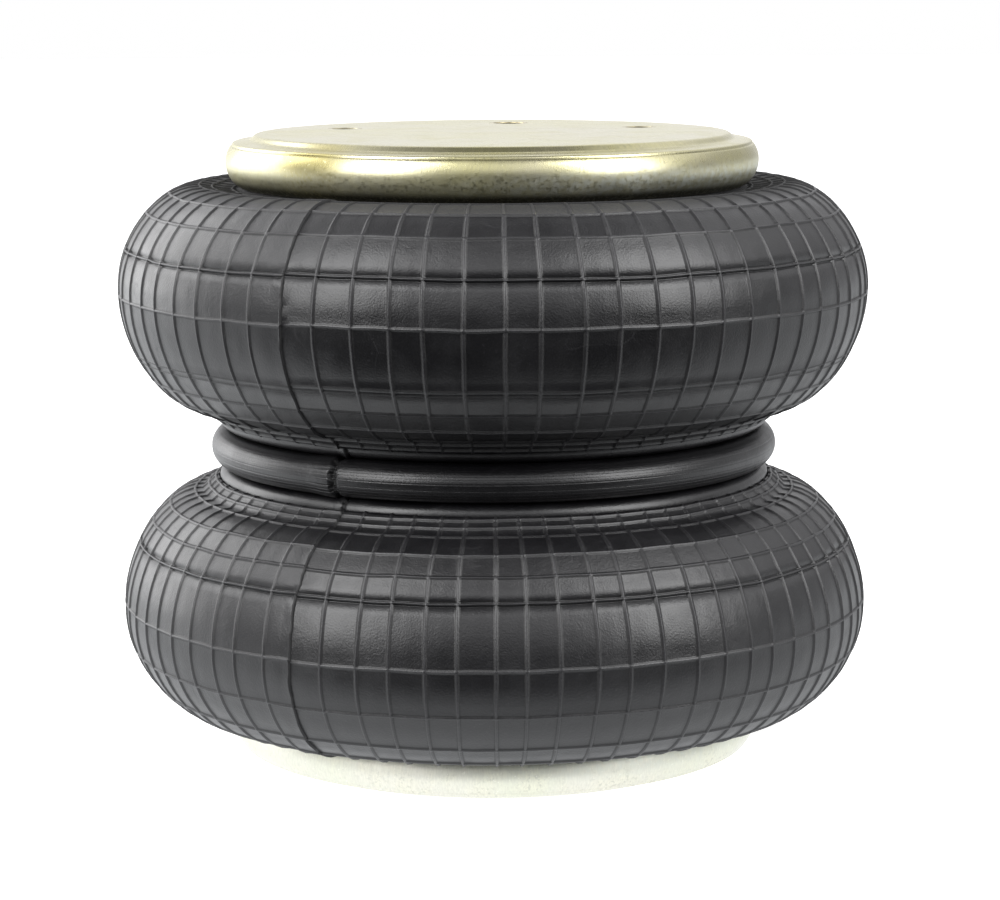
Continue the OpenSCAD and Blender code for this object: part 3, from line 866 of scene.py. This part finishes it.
def zinc(name, colour, warm, roughness, grain_depth, painted_bore_shade=False, tinted_patch=False):
    """Passivated zinc on pressed sheet: iridescent blotches, brushed grain, specks and handling marks, with
    painted shade on the underside of the roll.
    A recessed fitting gets painted shade in its bore below the plate's face. On the upper plate's roll, an
    olive patch with light specks is painted reflection."""
    material, tree, shader, spot = new_material(name)
    grain = effect(tree, "grain", spot, round=1500.0, along=420.0, depth=grain_depth)
    blotch = mottle(tree, spot, 17.0, 0.36, 0.66, 5.0)
    patch = mottle(tree, spot, 60.0, 0.45, 0.7, 3.0)
    specks = mottle(tree, spot, 900.0, 0.69, 0.74, 1.0)
    crystals = mottle(tree, spot, 620.0, 0.5, 0.66, 3.0)
    flecks = mottle(tree, spot, 330.0, 0.4, 0.6)
    scuffs = effect(tree, "scuffs", spot, scale=30.0, amount=0.5)["Mask"]
    x, _, z = split(tree, spot)
    off_middle = (z - MID_Z * MM).math("ABSOLUTE")
    crimped = off_middle.ramp(0.1275, 0.1195, smooth=True) * (1.0 - 0.5 * crystals)
    silver = crimped * x.ramp(-0.04, 0.06, 0.25, 1.0, smooth=True) * (0.45 + 0.55 * flecks)
    # Painted shade: the underside of the roll, over the rubber, is darkened almost to black.
    painted_roll_shade = off_middle.ramp(0.1172, 0.1138, smooth=True)
    base = layered(tree, colour, [
        (blotch, shade(colour, warm)),
        (patch * 0.35, shade(colour, (1.12, 1.1, 1.0))),
        (grain["Mask"] * 0.30, shade(colour, 0.74)),
        (crystals * (0.1 + 0.4 * patch), shade(colour, (0.60, 0.62, 0.60))),
        (specks * 0.5, shade(colour, 1.3)),
        (scuffs * 0.5, shade(colour, (0.8, 0.8, 0.86))),
        (silver * 0.9, (0.72, 0.74, 0.66)),
        (painted_roll_shade * (0.9 - 0.3 * crystals), shade(colour, 0.12))])
    # Painted reflection: an olive patch with light specks at the roll's left front, where the roll would
    # reflect the dark gap between the key and the rim light.
    if tinted_patch:
        middle = (-0.076, -0.087, 0.2590)
        away = out(tree, "ShaderNodeVectorMath", {0: spot, 1: middle}, output=1, operation="DISTANCE")
        painted_reflection_patch = away.ramp(0.008, 0.025, 0.75, 0.0, smooth=True) * (1.0 - 0.8 * crimped)
        base = layered(tree, base, [(painted_reflection_patch, shade(colour, (0.85, 0.78, 0.42))),
                                    (painted_reflection_patch * specks, shade(colour, 1.6))])
    if painted_bore_shade:
        # Painted shade: the bore below the plate's face is darkened almost to black and roughened.
        depth = off_middle.ramp(0.1338, 0.13425, 1.0, 0.0)
        base = layered(tree, base, [(depth * 0.9, (0.02, 0.018, 0.014))])
        roughness = roughness + 0.4 * depth
    shader.inputs["Metallic"].default_value = 1.0
    dress(tree, shader, base,
          roughness + 0.05 * grain["Mask"] + 0.06 * patch + 0.06 * scuffs + 0.2 * crimped,
          bump(tree, crystals * (0.3 + blotch), grain_depth, Normal=grain["Normal"]))
    return material


def rubber(name, colour, dust, roughness, bloom):
    """Moulded rubber: bloom in soft clouds, rib tops lightened partly as rubbed bloom and partly as painted
    highlight, painted shade at the rib feet, in the ring grooves and under the plate's roll, a fine skin and
    stray scratches.
    """
    material, tree, shader, spot = new_material(name)
    rib = out(tree, "ShaderNodeAttribute", output="Fac", attribute_name="rib")
    splice = out(tree, "ShaderNodeAttribute", output="Fac", attribute_name="splice")
    cloud = mottle(tree, spot, 16.0, 0.34, 0.68, 5.0)
    smear = mottle(tree, spot, 70.0, 0.42, 0.7)
    speck = mottle(tree, spot, 700.0, 0.66, 0.72, 1.0)
    scuffs = effect(tree, "scuffs", spot, scale=38.0, amount=0.8)["Mask"]
    grain = effect(tree, "grain", spot, round=600.0, along=450.0, depth=0.00002)
    skin = noise(tree, spot, 1300.0, 2.0)
    x, y, z = split(tree, spot)
    # Painted shade: the top of the bulge under the plate's roll is darkened and dulled.
    painted_plate_shade = (x * x + y * y).math("SQRT").ramp(0.129, 0.141, 1.0, 0.0, smooth=True)
    painted_plate_shade = painted_plate_shade * (z - MID_Z * MM).math("ABSOLUTE").ramp(0.1, 0.108)
    # Painted shade at the feet of every rib and ring, on both sides.
    corner = rib.ramp(0.0, 0.1) * rib.ramp(0.2, 0.6, 1.0, 0.0)
    base = layered(tree, colour, [
        (cloud * bloom, dust),
        (smear * bloom * 0.5, dust),
        (corner * 0.8, shade(colour, 0.3)),
        # Rib tops lighter: partly rubbed bloom, partly painted highlight.
        (rib.ramp(0.5, 1.0) * (0.45 + 0.4 * smear), shade(dust, 1.7)),
        # Painted shade in the grooves beside the grooved ring.
        (rib.ramp(-0.2, -0.8) * 0.8, shade(colour, 0.3)),
        (speck * 0.35, shade(dust, 2.0)),
        (scuffs * 0.5, shade(dust, 1.5)),
        (splice * 0.95, shade(colour, 0.2)),
        (painted_plate_shade * 0.7, shade(colour, 0.5)),
        (skin.ramp(0.4, 0.62, 0.5, 0.0), shade(colour, 0.4))])
    rough = roughness + 0.07 * cloud + 0.06 * smear + 0.08 * rib.math("MAXIMUM", 0.0) + 0.1 * scuffs
    rough = rough + 0.2 * corner + 0.4 * painted_plate_shade + 0.3 * splice
    dress(tree, shader, base, rough, bump(tree, skin + cloud * smear, 0.00009, Normal=grain["Normal"]))
    shader.inputs["Specular IOR Level"].default_value = 0.75
    return material


def cord_ply(name, colour, cord):
    """Rubbered textile cords, laid on the bias."""
    material, tree, shader, spot = new_material(name)
    u, v, _ = split(tree, out(tree, "ShaderNodeUVMap", uv_map="UVMap"))
    stripe = ((u * 420.0 + v * 150.0) * (2 * math.pi)).math("SINE").ramp(-0.2, 0.9)
    twist = ((u * 420.0 - v * 2600.0) * (2 * math.pi)).math("SINE").ramp(-1.0, 1.0)
    worn = mottle(tree, spot, 45.0, 0.35, 0.65)
    base = layered(tree, colour, [(stripe * (0.45 + 0.4 * worn), cord),
                                  (stripe * twist * 0.3, shade(cord, 0.6))])
    dress(tree, shader, base, 0.6 + 0.2 * stripe, bump(tree, stripe + 0.3 * twist * stripe, 0.0003, 0.8))
    return material


def steel(name, colour):
    """Drawn and turned steel with fine lines round it, a thin film of oil stain and small pits."""
    material, tree, shader, spot = new_material(name)
    grain = effect(tree, "grain", spot, round=20.0, along=2600.0, depth=0.00001)
    tinted_patch = mottle(tree, spot, 60.0, 0.4, 0.7)
    pits = mottle(tree, spot, 1400.0, 0.66, 0.72, 1.0)
    base = layered(tree, colour, [
        (grain["Mask"] * 0.3, shade(colour, 0.75)),
        (tinted_patch * 0.35, shade(colour, (0.82, 0.76, 0.66))),
        (pits * 0.5, shade(colour, 0.4))])
    shader.inputs["Metallic"].default_value = 1.0
    dress(tree, shader, base, 0.26 + 0.12 * grain["Mask"] + 0.14 * tinted_patch, grain["Normal"])
    return material


made_finishes = {}


def finish_of(slot):
    """The finish for a slot of the record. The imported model's own materials bear the slots' plain names."""
    colours = bpy.context.scene.spring_finishes
    black, dust = tuple(colours.rubber), tuple(colours.dust)
    recipes = {
        "yellow_zinc": (zinc, tuple(colours.yellow_zinc), (1.0, 1.0, 0.78), 0.24, 0.000012, False, True),
        "pale_zinc": (zinc, tuple(colours.pale_zinc), (0.97, 1.0, 0.94), 0.28, 0.00001),
        "nut_zinc": (zinc, tuple(colours.nut_zinc), (1.0, 0.94, 0.8), 0.3, 0.00001, True),
        "cover_rubber": (rubber, black, dust, 0.31, 0.35),
        "inner_rubber": (rubber, shade(black, 0.8), shade(dust, 0.7), 0.4, 0.25),
        "stop_rubber": (rubber, shade(black, 0.7), shade(dust, 0.9), 0.55, 0.4),
        "cord_ply": (cord_ply, shade(black, 1.3), tuple(colours.cord)),
        "bright_steel": (steel, tuple(colours.steel)),
    }
    if slot not in made_finishes:
        maker, *values = recipes[slot]
        made_finishes[slot] = maker(slot, *values)
    return made_finishes[slot]


# Stage

def softbox(name, azimuth, elevation, distance, width, height, energy):
    """A soft panel that faces the spring; the azimuth is counted from the front towards +X."""
    light = bpy.data.lights.new(name, "AREA")
    light.shape = "RECTANGLE"
    light.size = width
    light.size_y = height
    light.energy = energy
    lamp = new_object(name, light)
    a, e = math.radians(azimuth - 90), math.radians(elevation)
    target = Vector((0, 0, 0.134))
    towards = Vector((math.cos(e) * math.cos(a), math.cos(e) * math.sin(a), math.sin(e)))
    lamp.location = target + distance * towards
    lamp.rotation_euler = (target - lamp.location).to_track_quat("-Z", "Y").to_euler()
    lamp.visible_camera = False


def show(tree, output, lit, seen):
    """Lights the spring with one shader and shows the camera another."""
    camera = out(tree, "ShaderNodeLightPath")
    feed(tree, output.inputs["Surface"], out(tree, "ShaderNodeMixShader", {0: camera, 1: lit, 2: seen}))


def build_world():
    """White to the camera. As light, a bright room with a dim ceiling and a dim corner at the back right."""
    world = bpy.data.worlds.new("studio")
    bpy.context.scene.world = world
    world.use_nodes = True
    tree = world.node_tree
    tree.nodes.clear()
    x, y, z = split(tree, out(tree, "ShaderNodeTexCoord", output="Generated"))
    walls = z.ramp(-0.02, 0.6, 0.08, 1.2, smooth=True)
    walls = walls.math("MAXIMUM", y.ramp(0.0, 0.4, 0.0, 1.15, smooth=True))
    ceiling = z.ramp(0.75, 0.97, 1.0, 0.2, smooth=True)
    corner = (x * 0.77 + y * 0.64).ramp(0.7, 0.97, 1.0, 0.5, smooth=True)
    lit = out(tree, "ShaderNodeBackground",
              {"Strength": walls * ceiling * corner, "Color": (0.98, 0.98, 1.0, 1.0)})
    seen = out(tree, "ShaderNodeBackground", {"Strength": 1.0, "Color": (1.0, 1.0, 1.0, 1.0)})
    show(tree, tree.nodes.new("ShaderNodeOutputWorld"), lit, seen)


def build_floor(colour, table):
    """A pale floor that glows a little, as a lit table does, most of all under and behind the spring."""
    reach = 9
    mesh = bpy.data.meshes.new("floor")
    mesh.from_pydata([(-reach, -reach, 0), (reach, -reach, 0), (reach, reach, 0), (-reach, reach, 0)], [],
                     [(0, 1, 2, 3)])
    material, tree, shader, spot = new_material("floor")
    cloud = mottle(tree, spot, 2.0, 0.3, 0.7, 2.0)
    feed(tree, shader.inputs["Base Color"], layered(tree, colour, [(cloud * 0.3, shade(colour, 0.985))]))
    for name, value in (("Roughness", 0.9), ("Specular IOR Level", 0.2), ("Emission Strength", 0.6),
                        ("Emission Color", (1.0, 1.0, 1.0, 1.0))):
        shader.inputs[name].default_value = value
    x, y, _ = split(tree, spot)
    pool = y.ramp(-0.31, -0.15, 0.03, 1.0, smooth=True) * x.ramp(-0.2, 0.3, 1.0, 0.7)
    glow = out(tree, "ShaderNodeEmission", {"Strength": pool * table, "Color": (0.96, 0.98, 1.0, 1.0)})
    output = next(node for node in tree.nodes if node.type == "OUTPUT_MATERIAL")
    show(tree, output, glow, Field(tree, shader.outputs[0]))
    mesh.materials.append(material)
    new_object("floor", mesh)


def build_camera():
    """The photograph's long lens: pitched down and a little rolled, in radians, at its distance in metres."""
    pitch, roll, distance, height = 0.1576, -0.0054, 1.3624, 0.3462
    camera = bpy.data.cameras.new("camera")
    camera.lens = 113.13
    camera.sensor_width = 36.0
    camera.shift_x = 0.0063
    holder = new_object("camera", camera)
    turn = Matrix.Rotation(math.pi / 2 - pitch, 4, "X") @ Matrix.Rotation(roll, 4, "Z")
    holder.matrix_world = Matrix.Translation((0, -distance, height)) @ turn
    bpy.context.scene.camera = holder


# Operators

def build_plate(sizes, side, slot, holes):
    piece = turned(side + "_plate_sheet", plate_line(sizes)[::-1], slot, 256, unevenness=sizes.unevenness)
    cut_holes(piece, holes, FACE_Z + 3, UNDER_Z - 3)
    place(piece, side)
    ride_as(piece, side + "_plate", slot, side + "_bead_plate")


NUT_HOLES = [(*nut, NUT_HOLE_R) for nut in NUTS]


class SpringOperator:
    bl_options = {"REGISTER", "UNDO"}


class SPRING_OT_upper_plate(SpringOperator, bpy.types.Operator):
    """Upper bead plate with its rolled, crimped edge and its three holes"""
    bl_idname = "spring.upper_plate"
    bl_label = "Upper Bead Plate"

    def execute(self, context):
        build_plate(context.scene.spring_plate, "upper", "yellow_zinc", NUT_HOLES + [(*INLET, INLET_HOLE_R)])
        return {"FINISHED"}


class SPRING_OT_lower_plate(SpringOperator, bpy.types.Operator):
    """Lower bead plate, the same pressing turned over"""
    bl_idname = "spring.lower_plate"
    bl_label = "Lower Bead Plate"

    def execute(self, context):
        build_plate(context.scene.spring_plate, "lower", "pale_zinc", NUT_HOLES)
        return {"FINISHED"}


class SPRING_OT_covers(SpringOperator, bpy.types.Operator):
    """Rubber covers of the two bulges, with their net of moulded ribs"""
    bl_idname = "spring.covers"
    bl_label = "Ribbed Covers"

    def execute(self, context):
        sizes = context.scene.spring_wall
        front, splice = math.radians(90), sizes.splice_angle
        for side, ribs, first, lap, rings, way, seed in (
                ("upper", sizes.upper_ribs, math.radians(1.5) - front, splice - front, (23, -35), 1.0, 4),
                ("lower", sizes.lower_ribs, math.radians(0.3) + front, front - splice, (-35, None), -1.0, 9)):
            pitch = 2 * math.pi / ribs
            first -= 30 * pitch
            piece = grow(side + "_ribbed_cover", "ribbed wall", cover_section(*rings).mesh(side), ribs=ribs,
                         first_rib=first, splice_rib=round((lap - first) / pitch), splice_side=way,
                         splice_step=sizes.splice_step, rib_height=sizes.rib_height,
                         rib_width=sizes.rib_width, panel_crown=sizes.crown, wander=sizes.wander, seed=seed,
                         material=finish_of("cover_rubber"))
            place(piece, side)
            travel_as(piece, side, side + "_cover")
        return {"FINISHED"}


class SPRING_OT_layers(SpringOperator, bpy.types.Operator):
    """Cord plies and liners inside the covers"""
    bl_idname = "spring.layers"
    bl_label = "Plies and Liners"

    def execute(self, context):
        for side in SIDES:
            for name, depth, thick, inward, top, slot in (
                    ("outer_ply", 2.1, PLY_T, 0.0, BEAD_TOP_Z, "cord_ply"),
                    ("inner_ply", 3.2, PLY_T, PLY_SPREAD, PLY_TOP_Z, "cord_ply"),
                    ("liner", 4.3, LINER_T, PLY_SPREAD, PLY_TOP_Z, "inner_rubber")):
                points = wall_line(depth, inward, top, 40) + wall_line(depth + thick, inward, top, 40)[::-1]
                piece = turned(side + "_" + name + "_sleeve", points, slot, 144)
                place(piece, side)
                travel_as(piece, side, side + "_" + name)
        return {"FINISHED"}


class SPRING_OT_girdle(SpringOperator, bpy.types.Operator):
    """Girdle ring, its steel hoop and the two flank rings"""
    bl_idname = "spring.girdle"
    bl_label = "Girdle Rings"

    def execute(self, context):
        sizes = context.scene.spring_girdle
        splice = math.radians(-90) + context.scene.spring_wall.splice_angle
        upper = oval((FLANK_R, FLANK_Z), FLANK_HALF, FLANK_UP, FLANK_UP, -180, 174, 59)
        lower = oval((FLANK_R, -FLANK_Z), FLANK_HALF, FLANK_UP, FLANK_UP, -180, 174, 59)
        for name, points, aside, gap, node in (
                ("girdle_ring_rubber", girdle_line(sizes.line_depth), -0.031, 1.3, "girdle_cover"),
                ("upper_flank_rubber", upper, 0.015, 0.45, "upper_flank_ring"),
                ("lower_flank_rubber", lower, 0.0, 0.45, "lower_flank_ring")):
            ring = turned(name, points, "cover_rubber", 288, crowding=0.8, splice_angle=splice + aside,
                          splice_step=sizes.splice_step, splice_groove=sizes.splice_groove, splice_gap=gap)
            place(ring)
            ride_as(ring, "girdle", "cover_rubber", node)
        hoop = turned("girdle_hoop_steel", oval((GIRDLE_R, 0), HOOP_R, HOOP_R, HOOP_R, -180, 168, 29),
                      "bright_steel")
        place(hoop)
        ride_as(hoop, "girdle", "bright_steel", "girdle_hoop")
        return {"FINISHED"}


class SPRING_OT_beads(SpringOperator, bpy.types.Operator):
    """Stranded bead wires, and the finish of the fillers round them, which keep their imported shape"""
    bl_idname = "spring.beads"
    bl_label = "Bead Wires"

    def execute(self, context):
        strands = context.scene.spring_fittings.strands
        for side in SIDES:
            wire = grow(side + "_bead_strands", "strand bundle", strands=strands, ring_radius=WIRE_R * MM,
                        strand_radius=STRAND_R * MM, height=WIRE_Z * MM, twists=12.0,
                        material=finish_of("bright_steel"))
            place(wire, side)
            ride_as(wire, side + "_plate", "bright_steel", side + "_bead_wire")
            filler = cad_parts[side + "_bead_filler"]
            filler.data.materials.clear()
            filler.data.materials.append(finish_of("inner_rubber"))
        return {"FINISHED"}


class SPRING_OT_fittings(SpringOperator, bpy.types.Operator):
    """Blind nuts of both plates and the air inlet boss, with their threads"""
    bl_idname = "spring.fittings"
    bl_label = "Nuts and Air Inlet"

    def execute(self, context):
        sizes, face = context.scene.spring_fittings, FACE_Z
        blind = [(5.9, face), (4.85, face - 1.4), (4.85, face - 14.4), (0, face - 15.4)]
        nut = fitting_line((0, face - 17), 9, 12, 7.5, blind)
        inlet = fitting_line((6.3, face - 18), 11, 14, 8.6, [(7.0, face), (6.3, face - 1.1)])
        bolt = (4.87, face - 14.2, face - 1.9, sizes.bolt_pitch, 0.6)
        pipe = (6.32, face - 17.3, face - 1.7, sizes.pipe_pitch, 0.58)
        for name, side, centres, line, thread, node in (
                ("upper_nuts_turned", "upper", NUTS, nut, bolt, "upper_blind_nuts"),
                ("lower_nuts_turned", "lower", NUTS, nut, bolt, "lower_blind_nuts"),
                ("air_inlet_turned", "upper", [INLET], inlet, pipe, "air_inlet_boss")):
            parts = []
            for x, y in centres:
                pair = (turned(name, line, "nut_zinc", 72, 35),
                        thread_ridge(name + "_thread", "nut_zinc", *thread))
                for part in pair:
                    part.data.transform(Matrix.Translation((x * MM, y * MM, 0)))
                parts += pair
            piece = merge_pieces(name, parts)
            place(piece, side)
            ride_as(piece, side + "_plate", "nut_zinc", node)
        return {"FINISHED"}


class SPRING_OT_bump_stop(SpringOperator, bpy.types.Operator):
    """Bump stop with its stud, washer and nut"""
    bl_idname = "spring.bump_stop"
    bl_label = "Bump Stop"

    def execute(self, context):
        metal, pitch = "bright_steel", context.scene.spring_fittings.bolt_pitch
        block = turned("bump_stop_block", stop_line(), "stop_rubber", 144, 40)
        ride_as(block, "lower_plate", "stop_rubber", "bump_stop")
        shank = turned("stud_shank", [(0, 3), (11.6, 3), (12, 3.3), (12, 4.8), (11.8, 5), (4.45, 5),
                                      (4.45, 29), (3.9, 29.5), (0, 29.5)], metal, 72, 35)
        ridge = thread_ridge("stud_thread", metal, 4.4, 7, 28.6, pitch, 0.56)
        stud = merge_pieces("bump_stop_stud_turned", [shank, ridge])
        washer = turned("bump_stop_washer_turned", [(5.3, 17.05), (13.6, 17.05), (14, 17.4), (14, 18.6),
                                                    (13.6, 19.05), (5.3, 19.05)], metal, 96, 35)
        nut = hex_nut("bump_stop_nut_cut", metal, 19.05, 8.0, 9.2, 5.1)
        for piece, node in ((stud, "bump_stop_stud"), (washer, "bump_stop_washer"), (nut, "bump_stop_nut")):
            ride_as(piece, "lower_plate", metal, node)
        return {"FINISHED"}


class SPRING_OT_stage(SpringOperator, bpy.types.Operator):
    """Plain pale floor, soft studio light and the camera"""
    bl_idname = "spring.stage"
    bl_label = "Stage"

    def execute(self, context):
        settings = context.scene.spring_stage
        build_world()
        build_floor(tuple(settings.floor), settings.table)
        build_camera()
        softbox("key", -50, 31, 1.8, 1.0, 1.7, settings.key)
        softbox("fill", 56, 31, 1.8, 1.0, 1.7, settings.fill)
        softbox("rim", -120, 18, 1.9, 1.6, 1.8, settings.rim)
        context.scene.view_settings.view_transform = "Standard"
        return {"FINISHED"}


OPERATORS = (SPRING_OT_upper_plate, SPRING_OT_lower_plate, SPRING_OT_covers, SPRING_OT_layers,
             SPRING_OT_girdle, SPRING_OT_beads, SPRING_OT_fittings, SPRING_OT_bump_stop, SPRING_OT_stage)
SETTINGS = {"spring_plate": PlateSizes, "spring_wall": WallSizes, "spring_girdle": GirdleSizes,
            "spring_fittings": FittingSizes, "spring_finishes": Finishes, "spring_stage": StageSettings}


class SPRING_PT_panel(bpy.types.Panel):
    """Lists the pieces of the air spring"""
    bl_idname = "SPRING_PT_panel"
    bl_label = "Air Suspension Spring"
    bl_space_type = "VIEW_3D"
    bl_region_type = "UI"
    bl_category = "Air Spring"

    def draw(self, context):
        for operator in OPERATORS:
            self.layout.operator(operator.bl_idname)
        for name in SETTINGS:
            box = self.layout.box()
            group = getattr(context.scene, name)
            for field in group.bl_rna.properties:
                if field.identifier not in ("rna_type", "name"):
                    box.prop(group, field.identifier)


def register():
    for name, group in SETTINGS.items():
        bpy.utils.register_class(group)
        setattr(bpy.types.Scene, name, PointerProperty(type=group))
    for panel_or_operator in (*OPERATORS, SPRING_PT_panel):
        bpy.utils.register_class(panel_or_operator)


def unregister():
    for panel_or_operator in (SPRING_PT_panel, *reversed(OPERATORS)):
        bpy.utils.unregister_class(panel_or_operator)
    for name, group in SETTINGS.items():
        delattr(bpy.types.Scene, name)
        bpy.utils.unregister_class(group)


def main():
    register()
    bpy.ops.spring.upper_plate()
    bpy.ops.spring.lower_plate()
    bpy.ops.spring.covers()
    bpy.ops.spring.layers()
    bpy.ops.spring.girdle()
    bpy.ops.spring.beads()
    bpy.ops.spring.fittings()
    bpy.ops.spring.bump_stop()
    bpy.ops.spring.stage()


if __name__ == "__main__":
    main()
